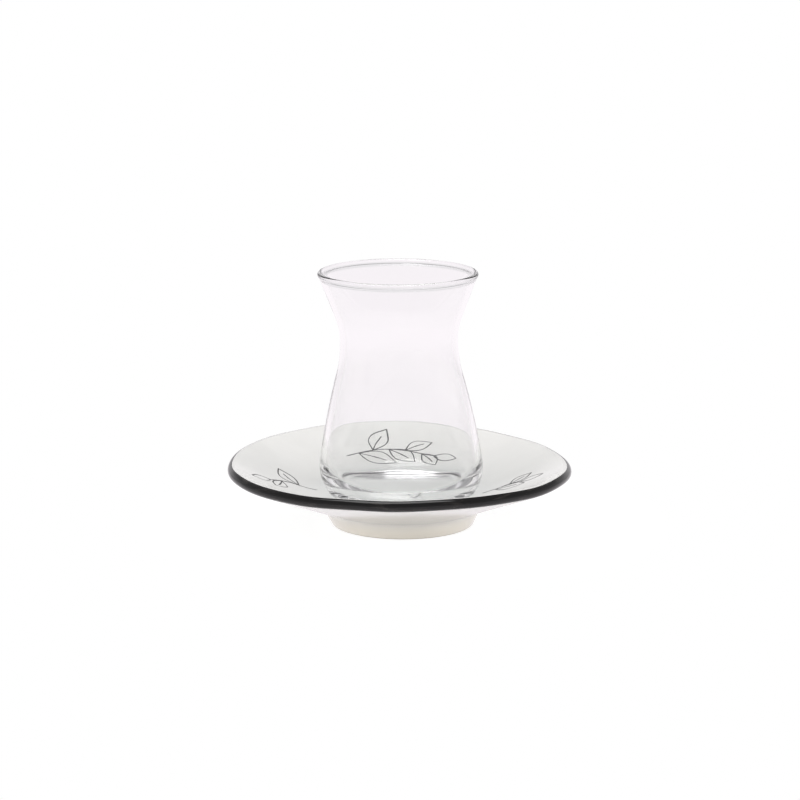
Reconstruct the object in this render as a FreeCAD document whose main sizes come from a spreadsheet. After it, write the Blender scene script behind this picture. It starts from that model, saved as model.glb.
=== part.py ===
"""Turkish tea glass on its saucer, as a parametric FreeCAD document (millimetres).

Two pieces, each a PartDesign body turned once round the vertical axis:
  tea_glass  a tulip-shaped glass: thick heel, full belly, narrow waist, flared mouth, round lip
  saucer     a ceramic saucer: flat floor, sloping flange, rolled rim, tall hollow foot

The frame's origin is the centre of the foot's underside, with +Z up.
"""

import FreeCAD
import Part

import math
import os

import Sketcher

# Driving dimensions, in millimetres: alias, value, what it is.
SIZES = [
    ("glass_height", 90.0, "glass, from its base to the top of the lip"),
    ("lip_radius", 31.85, "outermost radius of the lip"),
    ("lip_round", 1.15, "radius of the round lip's section"),
    ("glass_wall", 1.8, "wall at the waist and the mouth"),
    ("waist_radius", 23.42, "outer radius at the narrowest place"),
    ("waist_height", 62.0, "height of the narrowest place above the glass's base"),
    ("waist_upper_round", 27.0, "curve of the side above the waist"),
    ("waist_lower_round", 50.0, "curve of the side below the waist"),
    ("body_round", 320.0, "curve of the long side between waist and belly"),
    ("belly_radius", 32.75, "outer radius at the widest place"),
    ("belly_height", 11.3, "height of the widest place above the glass's base"),
    ("belly_round", 17.5, "curve of the belly"),
    ("belly_wall", 2.4, "wall at the belly"),
    ("heel_round", 4.0, "curve between the belly and the base"),
    ("bowl_round", 10.0, "curve between the inner wall and the inner floor"),
    ("bowl_floor_round", 250.0, "dish of the inner floor"),
    ("base_thickness", 2.3, "glass under the middle of the inner floor"),
    ("punt_radius", 22.0, "radius of the hollow under the glass"),
    ("punt_depth", 0.8, "depth of the hollow under the glass"),
    ("saucer_radius", 69.1, "outermost radius of the saucer"),
    ("saucer_height", 25.6, "top of the saucer's rim above the foot's underside"),
    ("rim_round", 2.15, "radius of the rolled rim's section"),
    ("flange_round", 200.0, "dish of the flange"),
    ("floor_height", 12.0, "saucer's floor above the foot's underside"),
    ("floor_radius", 31.0, "radius of the flat floor that the glass stands on"),
    ("floor_corner_round", 30.0, "curve between the floor and the flange"),
    ("neck_radius", 31.6, "radius where the foot meets the flange's underside"),
    ("neck_height", 6.5, "height where the foot meets the flange's underside"),
    ("neck_round", 4.0, "curve between the foot and the flange"),
    ("foot_radius", 28.3, "outer radius of the foot at its underside"),
    ("foot_edge_round", 0.8, "rounding of the foot's lower edges"),
    ("foot_ring_width", 4.4, "width of the ring that the foot stands on"),
    ("recess_draft", 1.2, "how much narrower the recess is at its top"),
    ("recess_height", 7.5, "height of the recess under the saucer"),
    ("recess_round", 2.5, "curve between the recess's wall and its top"),
]

Vector = FreeCAD.Vector

# How a sketch names the ends of a piece, its own origin and its two axes.
START = 1
END = 2
CENTRE = 3
ORIGIN = (-1, START)
BASE_LINE = -1
TURNING_AXIS = -2


def make_sheet(doc):
    """The spreadsheet of driving dimensions; returns their values by alias too."""
    sheet = doc.addObject("Spreadsheet::Sheet", "sizes")
    for row, (alias, value, meaning) in enumerate(SIZES, start=1):
        sheet.set(f"A{row}", meaning)
        sheet.set(f"B{row}", str(value))
        sheet.setAlias(f"B{row}", alias)
    doc.recompute()
    return {alias: float(sheet.get(alias)) for alias, _, _ in SIZES}


def toward(start, target, distance):
    """The point at a distance from start, on the line to target."""
    line = target - start
    return start + line * (distance / line.Length)


def circles_meet(first, first_radius, second, second_radius):
    """Where two circles cross, on the left of the line from the first centre to the second."""
    line = second - first
    along = (first_radius**2 - second_radius**2 + line.Length**2) / (2 * line.Length)
    across = math.sqrt(first_radius**2 - along**2)
    left = Vector(-line.y, line.x, 0) / line.Length
    return toward(first, second, along) + left * across


def round_corner(before, corner, after, radius):
    """Centre and both ends of the arc that rounds a corner between two straight lines."""
    one = (before - corner).normalize()
    other = (after - corner).normalize()
    half_angle = one.getAngle(other) / 2
    reach = radius / math.tan(half_angle)
    centre = corner + (one + other).normalize() * (radius / math.sin(half_angle))
    return centre, corner + one * reach, corner + other * reach


class Section:
    """A sketch of half a section, drawn in order round its edge: x is radius and y is height."""

    def __init__(self, body, name):
        plane = next(item for item in body.Origin.OriginFeatures if item.Role == "XZ_Plane")
        self.sketch = body.newObject("Sketcher::SketchObject", name)
        self.sketch.AttachmentSupport = (plane, [""])
        self.sketch.MapMode = "FlatFace"
        self.ends = {}

    def line(self, start, end):
        """A straight piece; returns its number in the sketch."""
        piece = self.sketch.addGeometry(Part.LineSegment(start, end), False)
        self.ends[piece] = (START, END)
        return piece

    def arc(self, centre, start, end, leftward=True):
        """A round piece about centre, which turns left on its way from start to end, or right."""
        angles = [math.atan2(point.y - centre.y, point.x - centre.x) for point in (start, end)]
        circle = Part.Circle(centre, Vector(0, 0, 1), (start - centre).Length)
        if not leftward:
            angles.reverse()
        piece = self.sketch.addGeometry(Part.ArcOfCircle(circle, *angles), False)
        self.ends[piece] = (START, END) if leftward else (END, START)
        return piece

    def guide(self, point):
        """A guide point, where two straight sides would meet if their corner weren't rounded."""
        return self.sketch.addGeometry(Part.Point(point), True)

    def close(self, pieces, corners):
        """Join the pieces in a ring: smoothly, but for those that end in a corner."""
        for piece, following in zip(pieces, pieces[1:] + pieces[:1]):
            kind = "Coincident" if piece in corners else "Tangent"
            self.tie(kind, piece, self.ends[piece][1], following, self.ends[following][0])

    def tie(self, kind, *where):
        """A constraint without a size."""
        self.sketch.addConstraint(Sketcher.Constraint(kind, *where))

    def size(self, name, kind, where, value, expression):
        """A dimension, bound to the spreadsheet."""
        number = self.sketch.addConstraint(Sketcher.Constraint(kind, *where, value))
        self.sketch.renameConstraint(number, name)
        self.sketch.setExpression(f"Constraints.{name}", expression)

    def radius(self, name, piece, expression):
        """The radius of a round piece."""
        self.size(name, "Radius", (piece,), self.sketch.Geometry[piece].Radius, expression)

    def across(self, name, piece, end, expression):
        """How far a point is from the turning axis."""
        place = self.sketch.getPoint(piece, end).x
        self.size(name, "DistanceX", (*ORIGIN, piece, end), place, expression)

    def above(self, name, piece, end, expression):
        """How high a point is above the base line."""
        place = self.sketch.getPoint(piece, end).y
        self.size(name, "DistanceY", (*ORIGIN, piece, end), place, expression)

    def turn(self, body, name):
        """Turn the section once round the vertical axis."""
        turned = body.newObject("PartDesign::Revolution", name)
        turned.Profile = self.sketch
        turned.ReferenceAxis = (self.sketch, ["V_Axis"])
        turned.Angle = 360.0


def make_tea_glass(doc, size):
    """The glass: out along its base, up the outside, over the lip, down the inside, along the axis."""
    body = doc.addObject("PartDesign::Body", "tea_glass")
    draw = Section(body, "glass_section")
    wall = size["glass_wall"]
    side_round = size["body_round"]
    upper_round = size["waist_upper_round"]
    lower_round = size["waist_lower_round"]
    floor_round = size["bowl_floor_round"]

    # Where the round pieces have their centres.
    belly = Vector(size["belly_radius"] - size["belly_round"], size["belly_height"], 0)
    heel_rise = size["belly_height"] - size["heel_round"]
    heel_reach = size["belly_round"] - size["heel_round"]
    heel = belly + Vector(math.sqrt(heel_reach**2 - heel_rise**2), -heel_rise, 0)
    lower = Vector(size["waist_radius"] + lower_round, size["waist_height"], 0)
    upper = Vector(size["waist_radius"] + upper_round, size["waist_height"], 0)
    side = circles_meet(belly, side_round - size["belly_round"], lower, side_round + lower_round)
    lip = Vector(size["lip_radius"] - size["lip_round"], size["glass_height"] - size["lip_round"], 0)
    dish = Vector(0, size["base_thickness"] + floor_round, 0)
    bowl_radius = size["belly_radius"] - size["belly_wall"] - size["bowl_round"]
    bowl_drop = math.sqrt((floor_round - size["bowl_round"]) ** 2 - bowl_radius**2)
    bowl = dish + Vector(bowl_radius, -bowl_drop, 0)
    inside = circles_meet(
        bowl, side_round - size["bowl_round"], lower, side_round + lower_round + wall
    )
    punt_round = (size["punt_radius"] ** 2 + size["punt_depth"] ** 2) / (2 * size["punt_depth"])
    punt = Vector(0, size["punt_depth"] - punt_round, 0)

    # The flared mouth runs straight down from the lip, half a wall either side of the lip's
    # centre, and touches the round of the waist.
    to_waist = upper - lip
    touching = math.asin((upper_round + wall / 2) / to_waist.Length)
    heading = math.atan2(to_waist.y, to_waist.x) - touching
    down = Vector(math.cos(heading), math.sin(heading), 0)
    outward = Vector(-down.y, down.x, 0)
    under_lip = lip + down * math.sqrt(size["lip_round"] ** 2 - (wall / 2) ** 2)

    # Where the pieces meet.
    ring_edge = Vector(size["punt_radius"], 0, 0)
    heel_foot = Vector(heel.x, 0, 0)
    heel_top = toward(belly, heel, size["belly_round"])
    belly_top = toward(side, belly, side_round)
    side_top = toward(side, lower, side_round)
    waist = Vector(size["waist_radius"], size["waist_height"], 0)
    flare_foot = upper - outward * upper_round
    lip_outside = under_lip + outward * (wall / 2)
    lip_inside = under_lip - outward * (wall / 2)
    inner_flare_foot = upper - outward * (upper_round + wall)
    inner_waist = waist - Vector(wall, 0, 0)
    inside_top = toward(inside, lower, side_round)
    bowl_top = toward(inside, bowl, side_round)
    bowl_foot = toward(dish, bowl, floor_round)
    floor_middle = Vector(0, size["base_thickness"], 0)
    punt_middle = Vector(0, size["punt_depth"], 0)

    ring = draw.line(ring_edge, heel_foot)
    heel_arc = draw.arc(heel, heel_foot, heel_top)
    belly_arc = draw.arc(belly, heel_top, belly_top)
    side_arc = draw.arc(side, belly_top, side_top)
    lower_arc = draw.arc(lower, side_top, waist, leftward=False)
    upper_arc = draw.arc(upper, waist, flare_foot, leftward=False)
    flare = draw.line(flare_foot, lip_outside)
    lip_arc = draw.arc(lip, lip_outside, lip_inside)
    inner_flare = draw.line(lip_inside, inner_flare_foot)
    inner_upper_arc = draw.arc(upper, inner_flare_foot, inner_waist)
    inner_lower_arc = draw.arc(lower, inner_waist, inside_top)
    inside_arc = draw.arc(inside, inside_top, bowl_top, leftward=False)
    bowl_arc = draw.arc(bowl, bowl_top, bowl_foot, leftward=False)
    dish_arc = draw.arc(dish, bowl_foot, floor_middle, leftward=False)
    axis = draw.line(floor_middle, punt_middle)
    punt_arc = draw.arc(punt, punt_middle, ring_edge, leftward=False)
    pieces = [ring, heel_arc, belly_arc, side_arc, lower_arc, upper_arc, flare, lip_arc]
    pieces += [inner_flare, inner_upper_arc, inner_lower_arc, inside_arc, bowl_arc, dish_arc]
    pieces += [axis, punt_arc]
    draw.close(pieces, corners=[flare, lip_arc, dish_arc, axis, punt_arc])

    draw.tie("Horizontal", ring)
    draw.tie("PointOnObject", ring, START, BASE_LINE)
    draw.across("ring_edge", ring, START, "sizes.punt_radius")
    draw.radius("heel_round", heel_arc, "sizes.heel_round")
    draw.across("belly_across", belly_arc, CENTRE, "sizes.belly_radius - sizes.belly_round")
    draw.above("belly_height", belly_arc, CENTRE, "sizes.belly_height")
    draw.radius("belly_round", belly_arc, "sizes.belly_round")
    draw.radius("side_round", side_arc, "sizes.body_round")
    draw.across("lower_across", lower_arc, CENTRE, "sizes.waist_radius + sizes.waist_lower_round")
    draw.above("lower_height", lower_arc, CENTRE, "sizes.waist_height")
    draw.radius("lower_round", lower_arc, "sizes.waist_lower_round")
    draw.above("upper_height", upper_arc, CENTRE, "sizes.waist_height")
    draw.radius("upper_round", upper_arc, "sizes.waist_upper_round")
    draw.size("outer_flare", "Distance", (lip_arc, CENTRE, flare), wall / 2, "sizes.glass_wall / 2")
    draw.across("lip_across", lip_arc, CENTRE, "sizes.lip_radius - sizes.lip_round")
    draw.above("lip_height", lip_arc, CENTRE, "sizes.glass_height - sizes.lip_round")
    draw.radius("lip_round", lip_arc, "sizes.lip_round")
    draw.size(
        "inner_flare", "Distance", (lip_arc, CENTRE, inner_flare), wall / 2, "sizes.glass_wall / 2"
    )
    draw.above("inner_upper_height", inner_upper_arc, CENTRE, "sizes.waist_height")
    draw.radius("inner_upper_round", inner_upper_arc, "sizes.waist_upper_round + sizes.glass_wall")
    draw.tie("Coincident", inner_lower_arc, CENTRE, lower_arc, CENTRE)
    draw.radius("inner_lower_round", inner_lower_arc, "sizes.waist_lower_round + sizes.glass_wall")
    draw.radius("inside_round", inside_arc, "sizes.body_round")
    draw.across(
        "bowl_across", bowl_arc, CENTRE, "sizes.belly_radius - sizes.belly_wall - sizes.bowl_round"
    )
    draw.radius("bowl_round", bowl_arc, "sizes.bowl_round")
    draw.tie("PointOnObject", dish_arc, CENTRE, TURNING_AXIS)
    draw.radius("dish_round", dish_arc, "sizes.bowl_floor_round")
    draw.tie("PointOnObject", axis, START, TURNING_AXIS)
    draw.above("floor_height", axis, START, "sizes.base_thickness")
    draw.tie("Vertical", axis)
    draw.above("punt_height", axis, END, "sizes.punt_depth")
    draw.tie("PointOnObject", punt_arc, CENTRE, TURNING_AXIS)
    draw.turn(body, "glass_turned")

    # The glass stands on the saucer's floor.
    body.setExpression("Placement.Base.z", "sizes.floor_height")
    return body


def make_saucer(doc, size):
    """The saucer: out along its foot, up the underside, round the rim and in along the top."""
    body = doc.addObject("PartDesign::Body", "saucer")
    draw = Section(body, "saucer_section")
    rim_round = size["rim_round"]

    # Corners, as they would be with no rounding.
    ring_inner = Vector(size["foot_radius"] - size["foot_ring_width"], 0, 0)
    ring_outer = Vector(size["foot_radius"], 0, 0)
    neck = Vector(size["neck_radius"], size["neck_height"], 0)
    recess_top = Vector(0, size["recess_height"], 0)
    recess_corner = Vector(ring_inner.x - size["recess_draft"], size["recess_height"], 0)

    # The underside runs straight from the neck and touches the rim from below.
    rim = Vector(size["saucer_radius"] - rim_round, size["saucer_height"] - rim_round, 0)
    to_rim = rim - neck
    heading = math.atan2(to_rim.y, to_rim.x) - math.asin(rim_round / to_rim.Length)
    along = Vector(math.cos(heading), math.sin(heading), 0)
    rim_foot = neck + along * math.sqrt(to_rim.Length**2 - rim_round**2)

    # The rounded corners, the dished flange and the rise from the floor.
    edge_round = size["foot_edge_round"]
    inner_edge, inner_edge_top, inner_edge_foot = round_corner(
        recess_corner, ring_inner, ring_outer, edge_round
    )
    outer_edge, outer_edge_foot, outer_edge_top = round_corner(
        ring_inner, ring_outer, neck, edge_round
    )
    neck_centre, neck_foot, neck_top = round_corner(ring_outer, neck, rim_foot, size["neck_round"])
    recess, recess_inner, recess_foot = round_corner(
        recess_top, recess_corner, ring_inner, size["recess_round"]
    )
    rise_round = size["floor_corner_round"]
    flange_round = size["flange_round"]
    floor_edge = Vector(size["floor_radius"], size["floor_height"], 0)
    floor_middle = Vector(0, size["floor_height"], 0)
    rise = floor_edge + Vector(0, rise_round, 0)
    flange = circles_meet(rise, flange_round - rise_round, rim, flange_round + rim_round)
    rim_top = toward(flange, rim, flange_round)
    rise_top = toward(flange, rise, flange_round)

    ring = draw.line(inner_edge_foot, outer_edge_foot)
    outer_edge_arc = draw.arc(outer_edge, outer_edge_foot, outer_edge_top)
    foot_side = draw.line(outer_edge_top, neck_foot)
    neck_arc = draw.arc(neck_centre, neck_foot, neck_top, leftward=False)
    underside = draw.line(neck_top, rim_foot)
    rim_arc = draw.arc(rim, rim_foot, rim_top)
    flange_arc = draw.arc(flange, rim_top, rise_top, leftward=False)
    rise_arc = draw.arc(rise, rise_top, floor_edge, leftward=False)
    floor = draw.line(floor_edge, floor_middle)
    axis = draw.line(floor_middle, recess_top)
    ceiling = draw.line(recess_top, recess_inner)
    recess_arc = draw.arc(recess, recess_inner, recess_foot, leftward=False)
    recess_side = draw.line(recess_foot, inner_edge_top)
    inner_edge_arc = draw.arc(inner_edge, inner_edge_top, inner_edge_foot)
    pieces = [ring, outer_edge_arc, foot_side, neck_arc, underside, rim_arc, flange_arc]
    pieces += [rise_arc, floor, axis, ceiling, recess_arc, recess_side, inner_edge_arc]
    draw.close(pieces, corners=[floor, axis])

    draw.tie("Horizontal", ring)
    draw.tie("PointOnObject", ring, START, BASE_LINE)
    draw.radius("outer_edge_round", outer_edge_arc, "sizes.foot_edge_round")
    outer_guide = draw.guide(ring_outer)
    draw.across("foot_across", outer_guide, START, "sizes.foot_radius")
    draw.tie("PointOnObject", outer_guide, START, BASE_LINE)
    draw.tie("PointOnObject", outer_guide, START, foot_side)
    neck_guide = draw.guide(neck)
    draw.across("neck_across", neck_guide, START, "sizes.neck_radius")
    draw.above("neck_height", neck_guide, START, "sizes.neck_height")
    draw.tie("PointOnObject", neck_guide, START, foot_side)
    draw.tie("PointOnObject", neck_guide, START, underside)
    draw.radius("neck_round", neck_arc, "sizes.neck_round")
    draw.across("rim_across", rim_arc, CENTRE, "sizes.saucer_radius - sizes.rim_round")
    draw.above("rim_height", rim_arc, CENTRE, "sizes.saucer_height - sizes.rim_round")
    draw.radius("rim_round", rim_arc, "sizes.rim_round")
    draw.radius("flange_round", flange_arc, "sizes.flange_round")
    draw.radius("rise_round", rise_arc, "sizes.floor_corner_round")
    draw.across("floor_across", rise_arc, CENTRE, "sizes.floor_radius")
    draw.tie("Horizontal", floor)
    draw.above("floor_height", floor, START, "sizes.floor_height")
    draw.tie("PointOnObject", axis, START, TURNING_AXIS)
    draw.tie("Vertical", axis)
    draw.above("recess_height", axis, END, "sizes.recess_height")
    draw.tie("Horizontal", ceiling)
    draw.radius("recess_round", recess_arc, "sizes.recess_round")
    top_guide = draw.guide(recess_corner)
    draw.across(
        "recess_across",
        top_guide,
        START,
        "sizes.foot_radius - sizes.foot_ring_width - sizes.recess_draft",
    )
    draw.above("recess_guide", top_guide, START, "sizes.recess_height")
    draw.tie("PointOnObject", top_guide, START, recess_side)
    inner_guide = draw.guide(ring_inner)
    draw.across("ring_across", inner_guide, START, "sizes.foot_radius - sizes.foot_ring_width")
    draw.tie("PointOnObject", inner_guide, START, BASE_LINE)
    draw.tie("PointOnObject", inner_guide, START, recess_side)
    draw.radius("inner_edge_round", inner_edge_arc, "sizes.foot_edge_round")
    draw.turn(body, "saucer_turned")
    return body


def check(doc, bodies):
    """Stop if an object failed, a sketch is loose or a solid is missing or broken."""
    for item in doc.Objects:
        if "Invalid" in item.State or "Error" in item.State:
            raise RuntimeError(f"{item.Name} failed: {item.State}")
        if item.TypeId == "Sketcher::SketchObject" and not item.FullyConstrained:
            raise RuntimeError(f"{item.Name} isn't fully constrained")
    for body in bodies:
        shape = body.Shape
        if shape.isNull() or not shape.isValid() or len(shape.Solids) != 1:
            raise RuntimeError(f"{body.Label} isn't one valid solid")


def main():
    doc = FreeCAD.newDocument("tea_glass_and_saucer")
    size = make_sheet(doc)
    bodies = [make_tea_glass(doc, size), make_saucer(doc, size)]
    doc.recompute()
    check(doc, bodies)
    os.makedirs("parts", exist_ok=True)
    for body in bodies:
        body.Shape.exportStep(os.path.join("parts", f"{body.Label}.step"))
        box = body.Shape.BoundBox
        print(f"{body.Label}: volume {body.Shape.Volume / 1000:.2f} cm3, top {box.ZMax:.2f} mm")


main()
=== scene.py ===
"""Turkish tea glass on its saucer: fine surfaces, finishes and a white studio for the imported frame.

Laid out as an add-on. Lengths are metres, the origin is the middle of the foot's underside and +Z
is up. A section through a turned piece is a row of complex numbers: the real part is how far a
point is from the turning axis and the imaginary part is its height. A drawing on the saucer is a
row of complex numbers too, seen from above: real part along X and imaginary part along Y.
"""

import math

import bpy
import numpy as np
from bpy.props import FloatProperty, FloatVectorProperty, PointerProperty
from bpy.types import Operator, Panel, PropertyGroup
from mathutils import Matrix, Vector


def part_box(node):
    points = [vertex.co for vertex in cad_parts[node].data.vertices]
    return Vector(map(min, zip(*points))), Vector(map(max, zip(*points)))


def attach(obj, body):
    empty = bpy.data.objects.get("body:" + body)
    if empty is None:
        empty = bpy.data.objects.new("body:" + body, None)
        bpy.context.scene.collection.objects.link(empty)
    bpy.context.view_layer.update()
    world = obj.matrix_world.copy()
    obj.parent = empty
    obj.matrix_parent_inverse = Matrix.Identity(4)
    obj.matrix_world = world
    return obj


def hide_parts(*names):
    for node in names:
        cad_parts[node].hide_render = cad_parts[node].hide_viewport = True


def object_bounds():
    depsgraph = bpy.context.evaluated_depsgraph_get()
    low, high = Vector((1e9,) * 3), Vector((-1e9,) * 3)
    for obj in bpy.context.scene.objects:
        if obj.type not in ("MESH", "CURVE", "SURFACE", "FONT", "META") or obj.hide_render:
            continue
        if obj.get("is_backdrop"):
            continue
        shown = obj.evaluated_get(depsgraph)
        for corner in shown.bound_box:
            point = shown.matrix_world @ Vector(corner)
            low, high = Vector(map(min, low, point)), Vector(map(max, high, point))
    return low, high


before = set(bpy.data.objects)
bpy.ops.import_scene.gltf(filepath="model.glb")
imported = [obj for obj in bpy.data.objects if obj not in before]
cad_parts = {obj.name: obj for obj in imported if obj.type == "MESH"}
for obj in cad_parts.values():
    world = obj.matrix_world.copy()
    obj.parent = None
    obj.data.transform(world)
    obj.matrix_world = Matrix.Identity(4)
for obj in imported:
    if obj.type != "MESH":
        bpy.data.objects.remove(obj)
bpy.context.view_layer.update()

bl_info = {
    "name": "Turkish tea glass",
    "version": (1, 0, 0),
    "blender": (4, 5, 0),
    "location": "3D View > Sidebar > Tea Glass",
    "description": "A tulip-shaped tea glass on its glazed saucer, in a white studio",
    "category": "Add Mesh",
}

MM = 0.001

GLASS_LOW, GLASS_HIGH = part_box("tea_glass")
_, SAUCER_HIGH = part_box("saucer")

# How many points a ring of each turned piece has.
AROUND_GLASS = 224
AROUND_SAUCER = 288

# The gap that keeps the glass's underside off the saucer's floor.
HAIR = 0.02 * MM

# How the handmade saucer differs from an even one. The rim is highest on the way of its tilt, and
# its warp and its lobes start from ways of their own. It's also lower by a share of the tilt,
# narrower by a share of the lobes, and pulled out a little to one side.
TILT_WAY = math.radians(134)
WARP_WAY = math.radians(123.5)
LOBE_WAY = math.radians(-41)
PULL_WAY = math.radians(12)
RIM_DROP = 0.55
RIM_DRAW_IN = 0.58
RIM_PULL = 0.33 * MM

# The painted band's edges as angles round the rim's section in degrees. The paint laps past the
# lower one by a quarter of the way to the underside. A wave on an edge is its depth, how many fit
# in a turn, and where it starts.
BAND_LOWER = -84
LOWER_WAVES = ((3, 2, 1.0), (1.5, 7, 0.0))
BAND_UPPER = 83
UPPER_WAVES = ((5, 1, 0.0), (4, 2, -0.6), (2.5, 5, 2.0), (1.2, 11, 0.0))

# Each painted sprig: where it starts, which way it heads in degrees, its span and bend, how many
# leaves it has, and how large they are beside the usual leaf.
SPRIGS = (
    (complex(-25, 38) * MM, 5, 40 * MM, 8 * MM, 5, 1.15),  # at the back
    (complex(16, 3) * MM, 168, 30 * MM, -5 * MM, 4, 0.8),  # in the well
    (complex(-33, 4) * MM, 199, 20 * MM, -4 * MM, 2, 0.9),  # on the left
    (complex(33, -1) * MM, 8, 16 * MM, 3 * MM, 2, 0.9),  # on the right
    (complex(17, -43) * MM, 184, 26 * MM, -6 * MM, 3, 1.0),  # in front
)

# Colours that the finishes go over to in places.
# Greyer in a ring round the edge of the floor.
FLOOR_RING_GREY = (0.70, 0.71, 0.70)
# Warmer tone under the saucer and down its foot: partly the glaze's own, partly painted shade.
UNDERSIDE_TONE_AND_SHADE = (0.87, 0.82, 0.725)
IRON_SPECK = (0.35, 0.28, 0.20)
THIN_BAND = (0.045, 0.040, 0.037)
THIN_LINE = (0.055, 0.053, 0.055)
THROUGH_GLASS = (0.95, 0.96, 0.96)
TABLE = (0.78, 0.78, 0.775)
SHADED_TABLE = (0.26, 0.26, 0.26)

# The floor reaches this far each way. Close to the foot it glows by this share.
FLOOR_REACH = 3.0
NEAR_GLOW = 0.86
# Each lamp: its name, its place, its width and depth, and whether glass and glaze show it.
LAMPS = (
    ("top_lamp", (-0.12, -0.05, 1.0), 0.7, 0.72, True),
    ("right_lamp", (0.9, 0.1, 0.15), 0.4, 0.25, False),
    ("left_lamp", (-0.9, -0.1, 0.15), 0.4, 0.25, False),
    ("front_lamp", (0, -1.0, 0.07), 0.9, 0.2, False),
)
# The camera aims at this height.
AIM_HEIGHT = 50 * MM
# Light that enters the thick base turns many times inside it before it leaves.
LIGHT_TURNS = 32


# ---------------------------------------------------------------- sizes and colours


def length(name, description, default):
    """A length that can be changed in the sidebar."""
    return FloatProperty(
        name=name, description=description, default=default, unit="LENGTH", precision=5
    )


def turn(name, description, degrees):
    """An angle that can be changed in the sidebar."""
    return FloatProperty(
        name=name, description=description, default=math.radians(degrees), subtype="ANGLE"
    )


def power(name, description, watts):
    """A lamp's power that can be changed in the sidebar."""
    return FloatProperty(name=name, description=description, default=watts, unit="POWER")


def colour(name, description, default):
    """A colour that can be changed in the sidebar."""
    return FloatVectorProperty(
        name=name, description=description, default=default, subtype="COLOR", size=3, min=0, max=1
    )


class TeaGlassSettings(PropertyGroup):
    """Sizes and tint of the glass; heights are above its own base."""

    height: length("Height", "Base to the top of the lip", GLASS_HIGH.z - GLASS_LOW.z)
    lip_radius: length("Lip radius", "Outermost radius of the lip", 31.85 * MM)
    lip_round: length("Lip round", "Radius of the round lip's section", 1.15 * MM)
    wall: length("Wall", "Wall at the waist and the mouth", 1.8 * MM)
    waist_radius: length("Waist radius", "Outer radius at the narrowest place", 23.42 * MM)
    waist_height: length("Waist height", "Height of the narrowest place", 62.0 * MM)
    waist_upper_round: length("Upper waist round", "Curve of the side above the waist", 27.0 * MM)
    waist_lower_round: length("Lower waist round", "Curve of the side below the waist", 50.0 * MM)
    body_round: length("Body round", "Curve of the long side", 320.0 * MM)
    belly_radius: length("Belly radius", "Outer radius at the widest place", GLASS_HIGH.x)
    belly_height: length("Belly height", "Height of the widest place", 11.3 * MM)
    belly_round: length("Belly round", "Curve of the belly", 17.5 * MM)
    belly_wall: length("Belly wall", "Wall at the belly", 2.4 * MM)
    heel_round: length("Heel round", "Curve between the belly and the base", 4.0 * MM)
    bowl_round: length("Bowl round", "Curve between inner wall and inner floor", 10.0 * MM)
    bowl_floor_round: length("Bowl floor round", "Dish of the inner floor", 250.0 * MM)
    base_thickness: length("Base thickness", "Glass under the inner floor", 2.3 * MM)
    punt_radius: length("Punt radius", "Radius of the hollow underneath", 22.0 * MM)
    punt_depth: length("Punt depth", "Depth of the hollow underneath", 0.8 * MM)
    lean: turn("Lean", "How far the glass leans to the left", 1.0)
    shift: length("Shift", "How far the base stands off the middle", 0.7 * MM)
    tint: colour("Tint", "Colour of the glass", (0.985, 0.986, 0.985))


class SaucerSettings(PropertyGroup):
    """Sizes and glaze of the saucer; heights are above the foot's underside."""

    radius: length("Radius", "Outermost radius of the rim", SAUCER_HIGH.x)
    height: length("Height", "Top of the rolled rim", SAUCER_HIGH.z)
    rim_round: length("Rim round", "Radius of the rolled rim's section", 2.15 * MM)
    flange_round: length("Flange round", "Dish of the flange", 200.0 * MM)
    floor_height: length("Floor height", "Height of the flat floor", GLASS_LOW.z)
    floor_radius: length("Floor radius", "Radius of the flat floor", 31.0 * MM)
    floor_corner: length("Floor corner", "Curve between floor and flange", 30.0 * MM)
    neck_radius: length("Neck radius", "Radius where foot and flange meet", 31.6 * MM)
    neck_height: length("Neck height", "Height where foot and flange meet", 6.5 * MM)
    neck_round: length("Neck round", "Curve between foot and flange", 4.0 * MM)
    foot_radius: length("Foot radius", "Outer radius of the foot's underside", 28.3 * MM)
    foot_edge: length("Foot edge", "Rounding of the foot's lower edges", 0.8 * MM)
    ring_width: length("Ring width", "Width of the ring that it stands on", 4.4 * MM)
    recess_draft: length("Recess draft", "How much narrower the recess's top is", 1.2 * MM)
    recess_height: length("Recess height", "Height of the recess underneath", 7.5 * MM)
    recess_round: length("Recess round", "Curve at the top of the recess", 2.5 * MM)
    rim_tilt: length("Rim tilt", "How much higher the rim is on one side", 0.7 * MM)
    rim_warp: length("Rim warp", "How far the rim waves up and down twice", 0.8 * MM)
    rim_lobes: length("Rim lobes", "How far the rim swells out three times", 1.0 * MM)
    foot_shift: length("Foot shift", "How far the foot is off the middle", 1.1 * MM)
    glaze: colour("Glaze", "White glaze", (0.775, 0.762, 0.745))
    clay: colour("Clay", "Bare ring under the foot", (0.62, 0.56, 0.48))
    band: colour("Band", "Painted rim", (0.007, 0.0065, 0.0065))


class SprigSettings(PropertyGroup):
    """The thin painted lines."""

    line_width: length("Line width", "Width of the painted line", 0.6 * MM)
    line_rise: length("Line rise", "How far the line stands above the glaze", 0.03 * MM)
    leaf: length("Leaf", "Length of a sprig's largest leaf", 17.0 * MM)
    paint: colour("Paint", "Colour of the line", (0.022, 0.021, 0.022))


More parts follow.
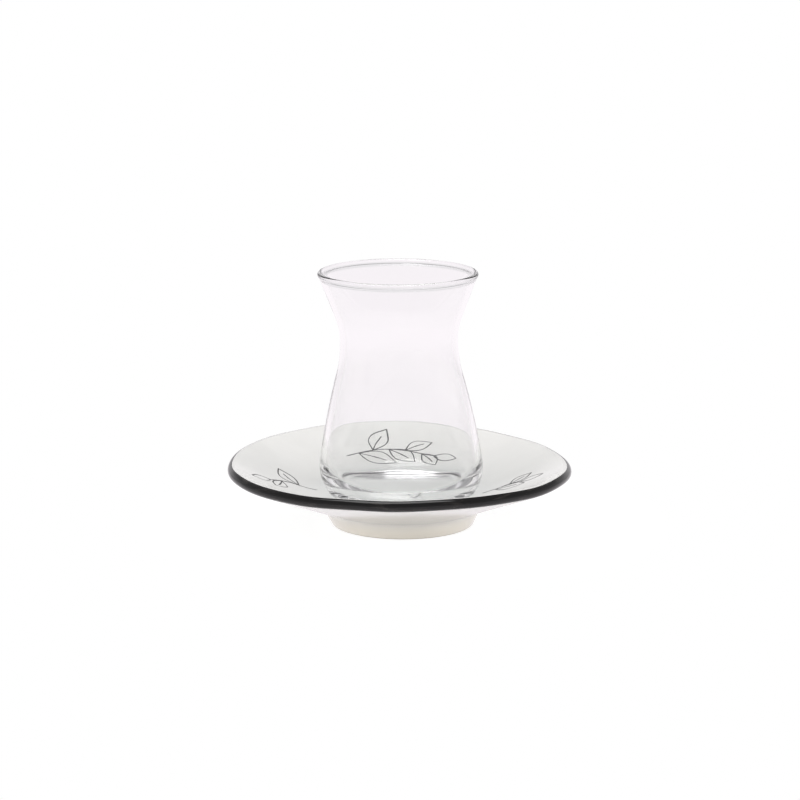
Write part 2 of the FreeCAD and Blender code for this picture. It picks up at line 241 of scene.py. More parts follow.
class StudioSettings(PropertyGroup):
    """Lamps, background and camera."""

    top_lamp: power("Top lamp", "Large lamp overhead", 5.8)
    right_lamp: power("Right lamp", "Low lamp on the right", 3.0)
    left_lamp: power("Left lamp", "Low lamp on the left", 2.6)
    front_lamp: power("Front lamp", "Low lamp in front", 3.3)
    room_light: FloatProperty(
        name="Room light", description="Light from all round", default=0.7, min=0, max=1
    )
    background: colour("Background", "Floor and backdrop", (1.0, 1.0, 1.0))
    sweep: colour("Sweep", "What glass and glaze show of the table", (1.0, 0.957, 0.99))
    wall: colour("Wall", "What glass and glaze show of the walls", (0.86, 0.84, 0.86))
    side: colour("Side", "What glass and glaze throw back from left and right", (0.50, 0.50, 0.51))
    front: colour("Front", "What glass and glaze throw back from in front", (0.42, 0.41, 0.42))
    ceiling: colour("Ceiling", "What glass and glaze show of the ceiling", (0.30, 0.30, 0.31))
    camera_distance: length("Camera distance", "From the object's middle", 1.191)
    camera_rise: turn("Camera rise", "How far the camera looks down", 12.13)
    focal_length: FloatProperty(
        name="Focal length", description="Camera lens", default=134.46, unit="CAMERA"
    )


# ---------------------------------------------------------------- sections of turned pieces


def toward(start, target, distance):
    """The point at a distance from start, on the line to target."""
    return start + (target - start) * (distance / abs(target - start))


def circles_meet(first, first_radius, second, second_radius):
    """Where two circles cross, on the left of the line from the first centre to the second."""
    line = second - first
    along = (first_radius**2 - second_radius**2 + abs(line) ** 2) / (2 * abs(line))
    across = math.sqrt(first_radius**2 - along**2)
    return toward(first, second, along) + 1j * line / abs(line) * across


def corner_arc(before, corner, after, radius):
    """The arc that rounds a corner between two straight lines, from the first to the second."""
    one = (before - corner) / abs(before - corner)
    other = (after - corner) / abs(after - corner)
    half_angle = abs(np.angle(other / one)) / 2
    reach = radius / math.tan(half_angle)
    centre = corner + (one + other) / abs(one + other) * (radius / math.sin(half_angle))
    leftward = ((corner - before).conjugate() * (after - corner)).imag > 0
    return arc(centre, corner + one * reach, corner + other * reach, leftward)


def arc(centre, start, end, leftward=True, step=1.0 * MM, fine_turn=0.07):
    """Points on an arc about centre: start turned about the centre by even parts of the whole turn,
    fine enough for the step along it and the turn between neighbours."""
    whole = float(np.angle((end - centre) / (start - centre)))
    if leftward and whole < 0:
        whole += 2 * math.pi
    if not leftward and whole > 0:
        whole -= 2 * math.pi
    turned = abs(whole)
    parts = max(2, math.ceil(turned * abs(start - centre) / step), math.ceil(turned / fine_turn))
    return centre + (start - centre) * np.exp(1j * whole * np.linspace(0, 1, parts + 1))


def straight(start, end, step=1.5 * MM):
    """Points on a straight line, evenly spaced."""
    parts = max(1, math.ceil(abs(end - start) / step))
    return start + (end - start) * np.linspace(0, 1, parts + 1)


def run_together(*runs):
    """One row of points from several runs, each of which begins where the last one ended."""
    return np.concatenate([runs[0]] + [run[1:] for run in runs[1:]])


def glass_section(size):
    """The glass's section, from the middle of the hollow underneath, up the outside, over the lip
    and down the inside to the middle of the inner floor: arcs that touch each other, with centres
    worked out from their radii, and a flared mouth that touches the round of the waist."""
    wall, side_round = size.wall, size.body_round
    upper_round, lower_round, floor_round = (
        size.waist_upper_round,
        size.waist_lower_round,
        size.bowl_floor_round,
    )
    belly = complex(size.belly_radius - size.belly_round, size.belly_height)
    heel_rise = size.belly_height - size.heel_round
    heel_reach = size.belly_round - size.heel_round
    heel = belly + complex(math.sqrt(heel_reach**2 - heel_rise**2), -heel_rise)
    lower = complex(size.waist_radius + lower_round, size.waist_height)
    upper = complex(size.waist_radius + upper_round, size.waist_height)
    side = circles_meet(belly, side_round - size.belly_round, lower, side_round + lower_round)
    lip = complex(size.lip_radius - size.lip_round, size.height - size.lip_round)
    dish = complex(0, size.base_thickness + floor_round)
    bowl_radius = size.belly_radius - size.belly_wall - size.bowl_round
    bowl_drop = math.sqrt((floor_round - size.bowl_round) ** 2 - bowl_radius**2)
    bowl = dish + complex(bowl_radius, -bowl_drop)
    inside = circles_meet(
        bowl, side_round - size.bowl_round, lower, side_round + lower_round + wall
    )
    punt_round = (size.punt_radius**2 + size.punt_depth**2) / (2 * size.punt_depth)
    punt = complex(0, size.punt_depth - punt_round)

    to_waist = upper - lip
    heading = np.angle(to_waist) - math.asin((upper_round + wall / 2) / abs(to_waist))
    down = complex(math.cos(heading), math.sin(heading))
    outward = 1j * down
    under_lip = lip + down * math.sqrt(size.lip_round**2 - (wall / 2) ** 2)

    ring_edge, heel_foot = complex(size.punt_radius, 0), complex(heel.real, 0)
    heel_top = toward(belly, heel, size.belly_round)
    belly_top = toward(side, belly, side_round)
    side_top = toward(side, lower, side_round)
    waist = complex(size.waist_radius, size.waist_height)
    flare_foot = upper - outward * upper_round
    lip_outside, lip_inside = under_lip + outward * (wall / 2), under_lip - outward * (wall / 2)
    inner_flare_foot = upper - outward * (upper_round + wall)
    inner_waist = waist - wall
    inside_top, bowl_top = toward(inside, lower, side_round), toward(inside, bowl, side_round)
    bowl_foot = toward(dish, bowl, floor_round)
    return run_together(
        arc(punt, complex(0, size.punt_depth), ring_edge, leftward=False),
        straight(ring_edge, heel_foot, 0.6 * MM),
        arc(heel, heel_foot, heel_top),
        arc(belly, heel_top, belly_top),
        arc(side, belly_top, side_top),
        arc(lower, side_top, waist, leftward=False),
        arc(upper, waist, flare_foot, leftward=False),
        straight(flare_foot, lip_outside),
        arc(lip, lip_outside, lip_inside, fine_turn=0.14),
        straight(lip_inside, inner_flare_foot),
        arc(upper, inner_flare_foot, inner_waist),
        arc(lower, inner_waist, inside_top),
        arc(inside, inside_top, bowl_top, leftward=False),
        arc(bowl, bowl_top, bowl_foot, leftward=False),
        arc(dish, bowl_foot, complex(0, size.base_thickness), leftward=False),
    )


def saucer_section(size):
    """The saucer's section in three runs. The first goes from the top of the recess down to the
    ring, up the foot and along the underside to the rim. The second is the middle of the rolled
    rim, with the first and last angles of its round. The third goes down the flange to the middle
    of the floor."""
    ring_inner = complex(size.foot_radius - size.ring_width, 0)
    ring_outer = complex(size.foot_radius, 0)
    neck = complex(size.neck_radius, size.neck_height)
    recess_middle = complex(0, size.recess_height)
    recess_corner = complex(ring_inner.real - size.recess_draft, size.recess_height)
    rim = complex(size.radius - size.rim_round, size.height - size.rim_round)
    to_rim = rim - neck
    heading = np.angle(to_rim) - math.asin(size.rim_round / abs(to_rim))
    rim_foot = neck + complex(math.cos(heading), math.sin(heading)) * math.sqrt(
        abs(to_rim) ** 2 - size.rim_round**2
    )
    rise = complex(size.floor_radius, size.floor_height + size.floor_corner)
    flange = circles_meet(
        rise, size.flange_round - size.floor_corner, rim, size.flange_round + size.rim_round
    )
    rim_top = toward(flange, rim, size.flange_round)
    rise_top = toward(flange, rise, size.flange_round)
    floor_edge = complex(size.floor_radius, size.floor_height)

    recess_arc = corner_arc(recess_middle, recess_corner, ring_inner, size.recess_round)
    inner_edge = corner_arc(recess_corner, ring_inner, ring_outer, size.foot_edge)
    outer_edge = corner_arc(ring_inner, ring_outer, neck, size.foot_edge)
    neck_arc = corner_arc(ring_outer, neck, rim_foot, size.neck_round)
    below = run_together(
        straight(recess_middle, recess_arc[0]),
        recess_arc,
        straight(recess_arc[-1], inner_edge[0]),
        inner_edge,
        straight(inner_edge[-1], outer_edge[0]),
        outer_edge,
        straight(outer_edge[-1], neck_arc[0]),
        neck_arc,
        straight(neck_arc[-1], rim_foot),
    )
    above = run_together(
        arc(flange, rim_top, rise_top, leftward=False),
        arc(rise, rise_top, floor_edge, leftward=False),
        straight(floor_edge, complex(0, size.floor_height)),
    )
    return below, (rim, np.angle(rim_foot - rim), np.angle(rim_top - rim)), above


# ---------------------------------------------------------------- surfaces


def smooth_rise(value, low, high):
    """0 below low, 1 above high and a smooth S between them."""
    share = np.clip((value - low) / (high - low), 0, 1)
    return share * share * (3 - 2 * share)


def skins_to_object(name, skins, materials, gap_material=None):
    """One closed mesh from grids of points. A grid has one row for each ring, and its first and
    last rings are drawn together to points. Neighbouring rings are joined by quads, and the end
    rings to their points by triangles. gap_material gives the material's number for each gap
    between rings."""
    points, faces, chosen, first = [], [], [], 0
    for grid in skins:
        rings, around = grid.shape[:2]
        points += [grid[0, :1], grid[1:-1].reshape(-1, 3), grid[-1, :1]]
        this = np.arange(around)
        following = (this + 1) % around
        low = first + 1 + around * np.arange(rings - 3)[:, None]
        high = low + around
        last = first + 1 + around * (rings - 2)
        quads = np.stack([low + this, low + following, high + following, high + this], -1)
        start_ring, end_ring = first + 1, last - around
        start_point, end_point = np.full(around, first), np.full(around, last)
        start_fan = np.stack([start_point, start_ring + following, start_ring + this], -1)
        end_fan = np.stack([end_ring + this, end_ring + following, end_point], -1)
        faces += start_fan.tolist() + quads.reshape(-1, 4).tolist() + end_fan.tolist()
        numbers = np.zeros(rings - 1, int) if gap_material is None else gap_material
        chosen.append(np.repeat(numbers, around))
        first = last + 1
    mesh = bpy.data.meshes.new(name)
    mesh.from_pydata(np.concatenate(points).tolist(), [], faces)
    mesh.polygons.foreach_set("use_smooth", np.ones(len(faces), bool))
    for material in materials:
        mesh.materials.append(material)
    mesh.polygons.foreach_set("material_index", np.concatenate(chosen).astype(np.int32))
    mesh.update()
    made = bpy.data.objects.new(name, mesh)
    bpy.context.scene.collection.objects.link(made)
    return made


def place_in_frame(made, node):
    """The piece rides on the frame's one body, and stands for a CAD node where one is named."""
    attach(made, "root")
    if node:
        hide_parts(node)


def turned_glass(size, floor_height):
    """The glass's section carried round the axis: x = radius * cos(angle), y = radius * sin(angle).
    Each height is then slid to the left in proportion, which is the lean of the real one, and the
    whole is lifted a hair above the saucer's floor."""
    section = glass_section(size)
    angle = np.linspace(0, 2 * math.pi, AROUND_GLASS, endpoint=False)
    radius, height = np.real(section)[:, None], np.imag(section)[:, None] + 0 * angle
    x = radius * np.cos(angle) + size.shift - math.tan(size.lean) * height
    y = radius * np.sin(angle)
    return np.stack([x, y, height + floor_height + HAIR], -1)


def uneven(size, section, angle):
    """Where a point of the even saucer is on the handmade one. The rim is dropped and drawn in a
    little, tilted and pulled out once, warped twice and swollen three times in a turn, each as the
    cosine of that many times the angle from its own way, with a few faint quicker waves. The
    change fades to nothing toward the floor and the neck. The foot is slid sideways, by less the
    higher it is."""
    radius, height = np.real(section), np.imag(section)
    share = smooth_rise(radius, size.neck_radius, size.radius)
    lift = size.rim_tilt * (np.cos(angle - TILT_WAY) - RIM_DROP)
    lift = lift + size.rim_warp * np.cos(2 * (angle - WARP_WAY))
    lift = lift + 0.12 * MM * np.cos(8 * angle + 2.6) + 0.08 * MM * np.cos(13 * angle - 1)
    swell = size.rim_lobes * (np.cos(3 * (angle - LOBE_WAY)) - RIM_DRAW_IN)
    swell = swell + RIM_PULL * np.cos(angle - PULL_WAY) + 0.10 * MM * np.cos(7 * angle + 1)
    height = height + share * lift
    radius = radius + share * swell
    offset = size.foot_shift * smooth_rise(-height, -size.floor_height, 0.0)
    return np.stack([radius * np.cos(angle) + offset, radius * np.sin(angle), height], -1)


def band_edge(steady, waves, angle):
    """An edge of the painted band at angles round the axis, as angles round the rim's section: a
    steady angle and a few small sine waves, as a brush leaves on a wheel."""
    return np.radians(
        steady + sum(depth * np.sin(count * angle + start) for depth, count, start in waves)
    )


def turned_saucer(size):
    """The saucer's section carried round the axis and made uneven. On the rolled rim the rings bend
    to follow the painted band's two edges, so that the paint ends on an edge of the mesh: 3 gaps
    below the band, 30 on it and 7 above. Also gives the material's number for each gap between
    rings: 1 on the band and 0 elsewhere."""
    below, (rim, rim_start, rim_end), above = saucer_section(size)
    angle = np.linspace(0, 2 * math.pi, AROUND_SAUCER, endpoint=False)
    lower = band_edge(BAND_LOWER, LOWER_WAVES, angle)
    upper = band_edge(BAND_UPPER, UPPER_WAVES, angle)
    share = np.linspace(0, 1, 13)[1:, None]
    under = rim_start + (lower - rim_start) * share[::4]
    band = lower + (upper - lower) * np.linspace(0, 1, 31)[1:, None]
    over = upper + (rim_end - upper) * share[:-1:2]
    round_rim = rim + size.rim_round * np.exp(1j * np.concatenate([under, band, over]))
    whole = np.concatenate([below[:, None] + 0 * angle, round_rim, above[:, None] + 0 * angle])
    gap_material = np.zeros(len(whole) - 1, int)
    first = len(below) + len(under) - 1
    gap_material[first : first + len(band)] = 1
    return uneven(size, whole, angle), gap_material


def sprig_lines(start, heading, span, bend, leaves, leaf):
    """A leafy sprig as lines seen from above. The stem runs straight from start and bows sideways
    by the sine of its share. A leaf goes out and back along its own direction as (1 - cos) / 2,
    and swells sideways by the sine of that, with a rib down its middle. A small leaf ends the
    stem."""
    way = np.exp(1j * math.radians(heading))
    share = np.linspace(0, 1, 90)
    out_and_back = (1 - np.cos(2 * math.pi * share)) / 2
    swell = np.sin(math.pi * out_and_back)
    flank = np.sign(0.5 - share)

    def on_stem(place):
        return start + way * (span * place + 1j * bend * np.sin(math.pi * place))

    lines = [on_stem(share)]
    for number in range(leaves):
        side = 1 if number % 2 else -1
        place = (number + 0.9) / (leaves + 0.6)
        slope = way * np.exp(1j * (math.atan(bend * math.pi * math.cos(math.pi * place) / span)))
        out = slope * np.exp(1j * side * (0.95 - 0.35 * place)) * leaf * (1 - 0.42 * place)
        edge = out_and_back + 0.27j * flank * swell**1.1 + 0.06j * swell
        rib = 0.72 * share + 0.06j * np.sin(math.pi * 0.72 * share)
        lines += [on_stem(place) + out * edge, on_stem(place) + out * rib]
    tip = slope * leaf * 0.6
    lines.append(on_stem(1.0) + tip * (out_and_back + 0.24j * flank * swell))
    return lines


def painted_line(size, saucer, top_height, path):
    """A line painted along a path: a thin closed skin of flat ovals across it. An oval's point at
    angle a is the path moved sideways by half the width times cos(a), set on the saucer's uneven
    top, and raised by the rise times sin(a). The width swells and thins like a brush stroke and
    closes to a point at each end."""
    share = np.linspace(0, 1, len(path))
    along = np.gradient(path)
    sideways = 1j * along / np.maximum(np.abs(along), 1e-9)
    stroke = 1 + 0.16 * np.sin(9 * share + 40 * abs(path[0])) + 0.08 * np.sin(23 * share)
    taper = np.clip(np.minimum(share, 1 - share) * 25, 0, 1) ** 0.5
    half = 0.5 * size.line_width * stroke * taper
    oval = np.linspace(0, 2 * math.pi, 8, endpoint=False)
    plan = path[:, None] + sideways[:, None] * half[:, None] * np.cos(oval)
    on_top = uneven(saucer, np.abs(plan) + 1j * top_height(np.abs(plan)), np.angle(plan))
    on_top[..., 2] += size.line_rise * taper[:, None] * np.sin(oval)
    return on_top


# ---------------------------------------------------------------- finishes


class Level:
    """A number that varies over a surface: a node's socket that the signs of arithmetic work on.
    Each sign adds one Math node."""

    def __init__(self, finish, socket):
        self.finish = finish
        self.socket = socket

    def __add__(self, other):
        return self.finish.maths("ADD", self, other)

    def __sub__(self, other):
        return self.finish.maths("SUBTRACT", self, other)

    def __rsub__(self, other):
        return self.finish.maths("SUBTRACT", other, self)

    def __mul__(self, other):
        return self.finish.maths("MULTIPLY", self, other)

    __radd__ = __add__
    __rmul__ = __mul__


class Finish:
    """A tree of shader nodes, for a material or the room, and the ways that nodes are put in it."""

    def __init__(self, owner):
        owner.use_nodes = True
        self.tree = owner.node_tree
        self.tree.nodes.clear()

    def node(self, kind, settings=(), sockets=()):
        """A node of this kind. Its settings come first, then its sockets' values or links, by the
        socket's name or number. A ramp's stops are (position, grey) pairs."""
        made = self.tree.nodes.new(kind)
        for name, value in dict(settings).items():
            if name == "stops":
                for number, (position, grey) in enumerate(value):
                    elements = made.color_ramp.elements
                    stop = elements[number] if number < 2 else elements.new(position)
                    stop.position, stop.color = position, (grey, grey, grey, 1)
            else:
                setattr(made, name, value)
        for name, value in dict(sockets).items():
            socket = made.inputs[name]
            if isinstance(value, Level):
                value = value.socket
            if isinstance(value, bpy.types.NodeSocket):
                self.tree.links.new(value, socket)
            else:
                socket.default_value = value
        return made

    def maths(self, operation, *values):
        """A Math node's answer."""
        made = self.node("ShaderNodeMath", {"operation": operation}, dict(enumerate(values)))
        return Level(self, made.outputs[0])

    def between(self, value, low, high):
        """0 below low, 1 above high and a smooth S between them."""
        sockets = {"Value": value, "From Min": low, "From Max": high}
        made = self.node("ShaderNodeMapRange", {"interpolation_type": "SMOOTHSTEP"}, sockets)
        return Level(self, made.outputs["Result"])

    def mixed(self, share, first, second):
        """A colour between two colours, by share."""
        sockets = {"Factor": share, "A": rgba(first), "B": rgba(second)}
        return self.node("ShaderNodeMix", {"data_type": "RGBA"}, sockets).outputs["Result"]

    def blended(self, share, first, second):
        """A shader between two shaders, by share."""
        sockets = {0: share, 1: first, 2: second}
        return self.node("ShaderNodeMixShader", {}, sockets).outputs[0]

    def place(self):
        """The point on the piece: its vector, how far it is from the axis, and its height."""
        point = self.node("ShaderNodeTexCoord").outputs["Object"]
        parts = self.node("ShaderNodeSeparateXYZ", sockets={"Vector": point}).outputs
        x, y = Level(self, parts["X"]), Level(self, parts["Y"])
        return point, self.maths("SQRT", x * x + y * y), Level(self, parts["Z"])

    def noise(self, point, size, detail=2.0):
        """Cloudy noise whose clouds are about this size, from 0 to 1 and mostly near a half."""
        sockets = {"Vector": point, "Scale": 1 / size, "Detail": detail}
        return Level(self, self.node("ShaderNodeTexNoise", {}, sockets).outputs["Fac"])

    def specks(self, point, spacing, size):
        """1 in small round specks scattered at this spacing, and 0 elsewhere."""
        sockets = {"Vector": point, "Scale": 1 / spacing}
        cells = self.node("ShaderNodeTexVoronoi", {"feature": "F1"}, sockets).outputs["Distance"]
        return 1 - self.between(cells, 0.6 * size / spacing, size / spacing)

    def relief(self, height, depth, strength=1.0):
        """The surface's direction, bent by a height from 0 to 1 that stands for this depth."""
        sockets = {"Height": height, "Distance": depth, "Strength": strength}
        return self.node("ShaderNodeBump", {}, sockets).outputs["Normal"]

    def shine_out(self, shader):
        """Send a shader to the output."""
        output = "ShaderNodeOutputWorld" if self.is_room() else "ShaderNodeOutputMaterial"
        self.node(output, {}, {"Surface": shader})

    def is_room(self):
        """Whether the tree is the room's and not a material's."""
        return any(world.node_tree == self.tree for world in bpy.data.worlds)


def rgba(value):
    """A colour with its alpha; a link is passed on as it is."""
    return value if isinstance(value, (bpy.types.NodeSocket, Level)) else (*value, 1)


def clear_glass(tint):
    """Pressed clear glass: clean, hardly tinted, with slow ripples that run up the side and faint
    marks from handling. Lamps shine through it on what stands behind."""
    material = bpy.data.materials.new("clear_glass")
    finish = Finish(material)
    point, _, _ = finish.place()
    stretched = finish.node(
        "ShaderNodeVectorMath", {"operation": "MULTIPLY"}, {0: point, 1: (1.0, 1.0, 0.3)}
    ).outputs[0]
    ripple = finish.noise(stretched, 14 * MM)
    marks = finish.between(finish.noise(point, 9 * MM, 4.0), 0.56, 0.75)
    glass = finish.node(
        "ShaderNodeBsdfPrincipled",
        {},
        {
            "Base Color": finish.mixed(marks, tint, [0.995 * part for part in tint]),
            "Roughness": marks * 0.012,
            "IOR": 1.51,
            "Transmission Weight": 1.0,
            "Normal": finish.relief(ripple, 0.05 * MM, 0.5),
        },
    ).outputs[0]
    clear = {"Color": rgba(THROUGH_GLASS)}
    passing = finish.node("ShaderNodeBsdfTransparent", {}, clear).outputs[0]
    path = finish.node("ShaderNodeLightPath").outputs
    lit_through = finish.maths("MAXIMUM", path["Is Shadow Ray"], path["Is Diffuse Ray"])
    finish.shine_out(finish.blended(lit_through, glass, passing))
    return material


def white_glaze(glaze, clay, foot_top, floor_radius):
    """Tin-white glaze over stoneware. It's a little uneven in colour, greyer in a ring round the
    edge of the floor, and warmer underneath and down the foot, partly its own tone and partly
    painted shade. It has a few iron specks and pinholes, and it stops short of the bare ring that
    the saucer stands on."""
    material = bpy.data.materials.new("white_glaze")
    finish = Finish(material)
    point, radius, height = finish.place()
    clouds = finish.noise(point, 22 * MM, 3.0)
    grain = finish.noise(point, 1.1 * MM, 3.0)
    # The underside and the foot, whose warmer tone is partly painted shade.
    lower = 1 - finish.between(height, 0.3 * foot_top, 1.6 * foot_top)
    # A ring round the edge of the floor, where the glaze goes greyer.
    greyer_ring = finish.between(radius, floor_radius - 4 * MM, floor_radius + 1 * MM) * (
        1 - finish.between(radius, floor_radius + 2 * MM, floor_radius + 11 * MM)
    )
    specks = finish.specks(point, 7 * MM, 0.16 * MM) * finish.between(clouds, 0.5, 0.56)
    bare = 1 - finish.between(height + (grain - 0.5) * (0.3 * MM), 0.30 * MM, 0.45 * MM)

    duller = [0.965 * part for part in glaze]
    shade = finish.mixed(finish.between(clouds, 0.35, 0.65), glaze, duller)
    # Greyer in a ring round the edge of the floor.
    shade = finish.mixed(greyer_ring * 0.35, shade, FLOOR_RING_GREY)
    # Underside and foot go warmer: partly the glaze's own tone, partly painted shade.
    shade = finish.mixed(lower * 0.85, shade, UNDERSIDE_TONE_AND_SHADE)
    shade = finish.mixed(specks * 0.5, shade, IRON_SPECK)
    shade = finish.mixed(bare, shade, finish.mixed(grain, clay, [0.8 * part for part in clay]))
    relief = finish.relief(
        clouds * 0.9 + grain * 0.03 - specks * 0.2 + bare * grain * 0.3, 0.35 * MM
    )
    glazed = finish.node(
        "ShaderNodeBsdfPrincipled",
        {},
        {
            "Base Color": shade,
            "Roughness": 0.13 + clouds * 0.08 + bare * 0.6,
            "Coat Weight": 0.35 - bare * 0.35,
            "Coat Roughness": 0.06,
            "Normal": relief,
        },
    ).outputs[0]
    finish.shine_out(glazed)
    return material


def black_band(paint):
    """Black glaze brushed on the turning rim: dense and glossy, with streaks where the brush ran
    thin, which show slightly brown."""
    material = bpy.data.materials.new("black_band")
    finish = Finish(material)
    point, _, height = finish.place()
    streaked = finish.node(
        "ShaderNodeVectorMath", {"operation": "MULTIPLY"}, {0: point, 1: (1.0, 1.0, 7.0)}
    ).outputs[0]
    streaks = finish.noise(streaked, 9 * MM, 4.0)
    grain = finish.noise(point, 0.7 * MM, 2.0)
    thin = finish.between(streaks, 0.55, 0.75)
    shade = finish.mixed(thin * 0.6, paint, THIN_BAND)
    band = finish.node(
        "ShaderNodeBsdfPrincipled",
        {},
        {
            "Base Color": shade,
            "Roughness": 0.05 + thin * 0.10 + grain * 0.03,
            "Specular IOR Level": 0.35,
            "Normal": finish.relief(streaks + grain * 0.10, 0.06 * MM),
        },
    ).outputs[0]
    finish.shine_out(band)
    return material


def line_paint(paint):
    """Thin black underglaze line: denser where the brush rested and greyer where it moved on."""
    material = bpy.data.materials.new("line_paint")
    finish = Finish(material)
    point, _, _ = finish.place()
    load = finish.noise(point, 4 * MM, 3.0)
    shade = finish.mixed(finish.between(load, 0.35, 0.7), paint, THIN_LINE)
    line = finish.node(
        "ShaderNodeBsdfPrincipled",
        {},
        {
            "Base Color": shade,
            "Roughness": 0.22 + load * 0.2,
            "Normal": finish.relief(load, 0.02 * MM),
        },
    ).outputs[0]
    finish.shine_out(line)
    return material


# ---------------------------------------------------------------- studio


def seen(finish, kind, background, mirrored, strength=1.0):
    """A glowing shader of this kind, and how far a ray sees it: 1 for rays that come from the eye
    direct, by a mirror or through glass, and 0 for the rest. Looked at directly it has the
    background's colour, and glass and glaze show the mirrored one."""
    path = finish.node("ShaderNodeLightPath").outputs
    by_glass = finish.maths("MAXIMUM", path["Is Glossy Ray"], path["Is Transmission Ray"])
    direct = Level(finish, path["Is Camera Ray"])
    shade = finish.mixed(direct, mirrored, background)
    glow = finish.node(kind, {}, {"Color": shade, "Strength": strength}).outputs[0]
    return glow, finish.maths("MAXIMUM", direct, by_glass)


def by_mirror(finish):
    """1 for a ray that a surface has thrown back, and 0 for one that came through glass."""
    path = finish.node("ShaderNodeLightPath").outputs
    return Level(finish, path["Is Glossy Ray"]) * (1 - Level(finish, path["Is Transmission Ray"]))


def studio_floor(studio):
    """Matt pale floor. To the eye it glows so that the table disappears, and close to the foot it
    keeps some of its own shade, which shows the saucer's soft shadow. Glass and glaze show the
    sweep's colour, which goes over to the walls' as the floor runs away. What they throw back goes
    over to darker colours at the left, the right and the front."""
    material = bpy.data.materials.new("studio_floor")
    finish = Finish(material)
    point, radius, _ = finish.place()
    parts = finish.node("ShaderNodeSeparateXYZ", sockets={"Vector": point}).outputs
    across, forward = finish.maths("ABSOLUTE", parts["X"]), 0 - Level(finish, parts["Y"])
    mirrored = finish.mixed(finish.between(radius, 0.5, 1.6), studio.sweep, studio.wall)
    thrown = by_mirror(finish)
    mirrored = finish.mixed(thrown * finish.between(across, 0.15, 0.6), mirrored, studio.side)
    mirrored = finish.mixed(thrown * finish.between(forward, 0.10, 0.35), mirrored, studio.front)
    plain = finish.node("ShaderNodeBsdfDiffuse", {}, {"Color": rgba(TABLE)}).outputs[0]
    dim = finish.node("ShaderNodeBsdfDiffuse", {}, {"Color": rgba(SHADED_TABLE)}).outputs[0]
    emission = "ShaderNodeEmission"
    part_glow, _ = seen(finish, emission, studio.background, studio.sweep, NEAR_GLOW)
    glow, in_sight = seen(finish, emission, studio.background, mirrored)
    near = finish.node("ShaderNodeAddShader", {}, {0: dim, 1: part_glow}).outputs[0]
    to_eye = finish.blended(finish.between(radius, 0.05, 0.11), near, glow)
    finish.shine_out(finish.blended(in_sight, plain, to_eye))
    return material


def lay_floor(scene, studio):
    """The studio's floor: one flat square at the foot."""
    corners = [
        (FLOOR_REACH * x, FLOOR_REACH * y, 0) for x, y in ((-1, -1), (1, -1), (1, 1), (-1, 1))
    ]
    mesh = bpy.data.meshes.new("studio_floor")
    mesh.from_pydata(corners, [], [(0, 1, 2, 3)])
    mesh.materials.append(studio_floor(studio))
    floor = bpy.data.objects.new("studio_floor", mesh)
    scene.collection.objects.link(floor)
    floor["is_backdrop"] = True


def light_room(scene, studio):
    """A pale room. Its strength on the object is even, and the eye meets the background's colour.
    Glass and glaze show its walls and a darker ceiling, and what they throw back goes over to
    darker colours at the left, the right and the front."""
    room = bpy.data.worlds.new("studio_room")
    scene.world = room
    finish = Finish(room)
    way = finish.node("ShaderNodeTexCoord").outputs["Generated"]
    parts = finish.node("ShaderNodeSeparateXYZ", sockets={"Vector": way}).outputs
    upward, forward = Level(finish, parts["Z"]), 0 - Level(finish, parts["Y"])
    sideways = finish.maths("ABSOLUTE", parts["X"])
    thrown = by_mirror(finish)
    walls = finish.mixed(thrown * finish.between(sideways, 0.5, 0.9), studio.wall, studio.side)
    walls = finish.mixed(thrown * finish.between(forward, 0.3, 0.8), walls, studio.front)
    mirrored = finish.mixed(finish.between(upward, 0.12, 0.5), walls, studio.ceiling)
    shown, in_sight = seen(finish, "ShaderNodeBackground", studio.background, mirrored)
    light = {"Strength": studio.room_light}
    lit = finish.node("ShaderNodeBackground", {}, light).outputs[0]
    finish.shine_out(finish.blended(in_sight, lit, shown))


def hang_lamp(scene, name, place, width, depth, watts, target, mirrored):
    """A flat lamp at a place, facing its target. Glass and glaze show it or don't."""
    lamp = bpy.data.lights.new(name, "AREA")
    lamp.shape = "RECTANGLE"
    lamp.size, lamp.size_y, lamp.energy = width, depth, watts
    holder = bpy.data.objects.new(name, lamp)
    holder.location = place
    holder.rotation_euler = (target - Vector(place)).to_track_quat("-Z", "Y").to_euler()
    holder.visible_glossy = mirrored
    holder.visible_transmission = mirrored
    scene.collection.objects.link(holder)


def set_camera(scene, studio):
    """The camera in front of the object, raised a little and tilted down at its middle."""
    lens = bpy.data.cameras.new("studio_camera")
    lens.sensor_width, lens.lens = 36.0, studio.focal_length
    lens.clip_start, lens.clip_end = 0.01, 20.0
    camera = bpy.data.objects.new("studio_camera", lens)
    rise, distance = studio.camera_rise, studio.camera_distance
    camera.location = (0, -distance * math.cos(rise), AIM_HEIGHT + distance * math.sin(rise))
    camera.rotation_euler = (math.pi / 2 - rise, 0, 0)
    scene.collection.objects.link(camera)
    scene.camera = camera


# ---------------------------------------------------------------- operators


class TEA_OT_turn_glass(Operator):
    """Turn the tulip-shaped glass on its axis"""

    bl_idname = "tea.turn_glass"
    bl_label = "Turn Glass"

    def execute(self, context):
        size = context.scene.tea_glass
        grid = turned_glass(size, context.scene.tea_saucer.floor_height)
        made = skins_to_object("tulip_glass", [grid], [clear_glass(size.tint)])
        place_in_frame(made, "tea_glass")
        return {"FINISHED"}


class TEA_OT_turn_saucer(Operator):
    """Turn the saucer, with its black band on the rim"""

    bl_idname = "tea.turn_saucer"
    bl_label = "Turn Saucer"

    def execute(self, context):
        size = context.scene.tea_saucer
        grid, gap_material = turned_saucer(size)
        glaze = white_glaze(size.glaze, size.clay, size.neck_height, size.floor_radius)
        finishes = [glaze, black_band(size.band)]
        made = skins_to_object("glazed_saucer", [grid], finishes, gap_material)
        place_in_frame(made, "saucer")
        return {"FINISHED"}


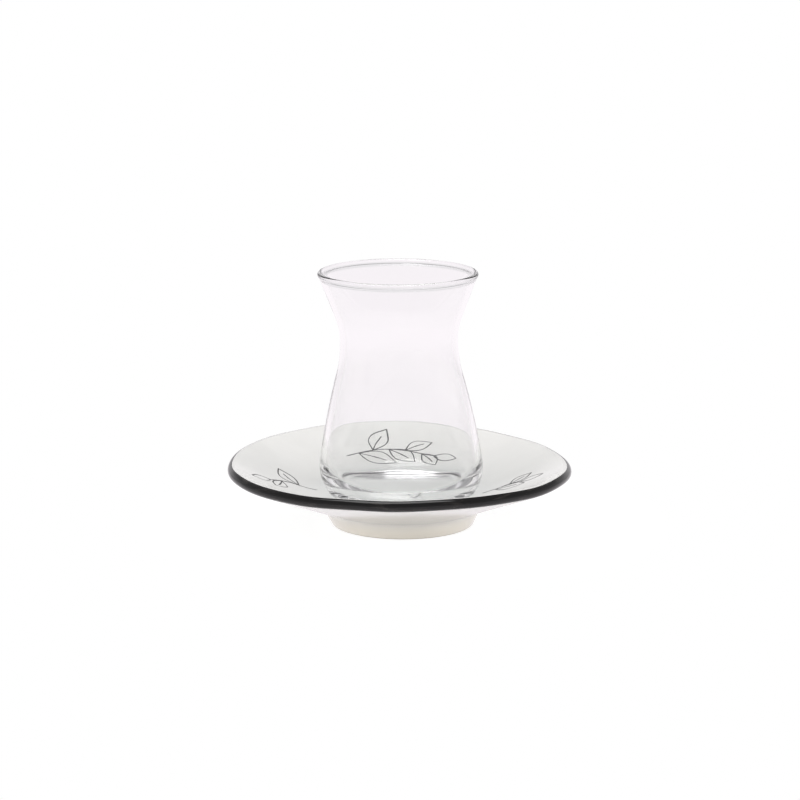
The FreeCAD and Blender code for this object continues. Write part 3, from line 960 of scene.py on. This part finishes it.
class TEA_OT_paint_sprigs(Operator):
    """Paint leafy sprigs in thin lines on the saucer's top"""

    bl_idname = "tea.paint_sprigs"
    bl_label = "Paint Sprigs"

    def execute(self, context):
        size, saucer = context.scene.tea_sprigs, context.scene.tea_saucer
        _, _, above = saucer_section(saucer)

        def top_height(radius):
            return np.interp(radius, np.real(above)[::-1], np.imag(above)[::-1])

        lines = []
        for start, heading, span, bend, leaves, scale in SPRIGS:
            lines += sprig_lines(start, heading, span, bend, leaves, scale * size.leaf)
        skins = [painted_line(size, saucer, top_height, line) for line in lines]
        made = skins_to_object("painted_sprigs", skins, [line_paint(size.paint)])
        place_in_frame(made, None)
        return {"FINISHED"}


class TEA_OT_set_studio(Operator):
    """Set the floor, the lamps, the room and the camera"""

    bl_idname = "tea.set_studio"
    bl_label = "Set Studio"

    def execute(self, context):
        scene, studio = context.scene, context.scene.tea_studio
        low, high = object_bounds()
        middle = Vector((0, 0, (low.z + high.z) / 2))
        lay_floor(scene, studio)
        light_room(scene, studio)
        for name, place, width, depth, mirrored in LAMPS:
            watts = getattr(studio, name)
            hang_lamp(scene, name, place, width, depth, watts, middle, mirrored)
        set_camera(scene, studio)
        scene.view_settings.view_transform = "Standard"
        scene.cycles.max_bounces = LIGHT_TURNS
        scene.cycles.glossy_bounces = LIGHT_TURNS
        scene.cycles.transmission_bounces = LIGHT_TURNS
        return {"FINISHED"}


OPERATORS = (TEA_OT_turn_glass, TEA_OT_turn_saucer, TEA_OT_paint_sprigs, TEA_OT_set_studio)


class TEA_PT_tools(Panel):
    """The steps in order, in the 3D view's sidebar"""

    bl_label = "Tea Glass"
    bl_idname = "TEA_PT_tools"
    bl_space_type = "VIEW_3D"
    bl_region_type = "UI"
    bl_category = "Tea Glass"

    def draw(self, context):
        for operator in OPERATORS:
            self.layout.operator(operator.bl_idname)
        for group in SETTINGS:
            box = self.layout.box()
            for name in SETTINGS[group].__annotations__:
                box.prop(getattr(context.scene, group), name)


SETTINGS = {
    "tea_glass": TeaGlassSettings,
    "tea_saucer": SaucerSettings,
    "tea_sprigs": SprigSettings,
    "tea_studio": StudioSettings,
}


def register():
    for group in SETTINGS.values():
        bpy.utils.register_class(group)
    for name, group in SETTINGS.items():
        setattr(bpy.types.Scene, name, PointerProperty(type=group))
    for operator in OPERATORS:
        bpy.utils.register_class(operator)
    bpy.utils.register_class(TEA_PT_tools)


def unregister():
    bpy.utils.unregister_class(TEA_PT_tools)
    for operator in reversed(OPERATORS):
        bpy.utils.unregister_class(operator)
    for name in SETTINGS:
        delattr(bpy.types.Scene, name)
    for group in reversed(SETTINGS.values()):
        bpy.utils.unregister_class(group)


def main():
    """Build everything in order."""
    register()
    bpy.ops.tea.turn_glass()
    bpy.ops.tea.turn_saucer()
    bpy.ops.tea.paint_sprigs()
    bpy.ops.tea.set_studio()


if __name__ == "__main__":
    main()
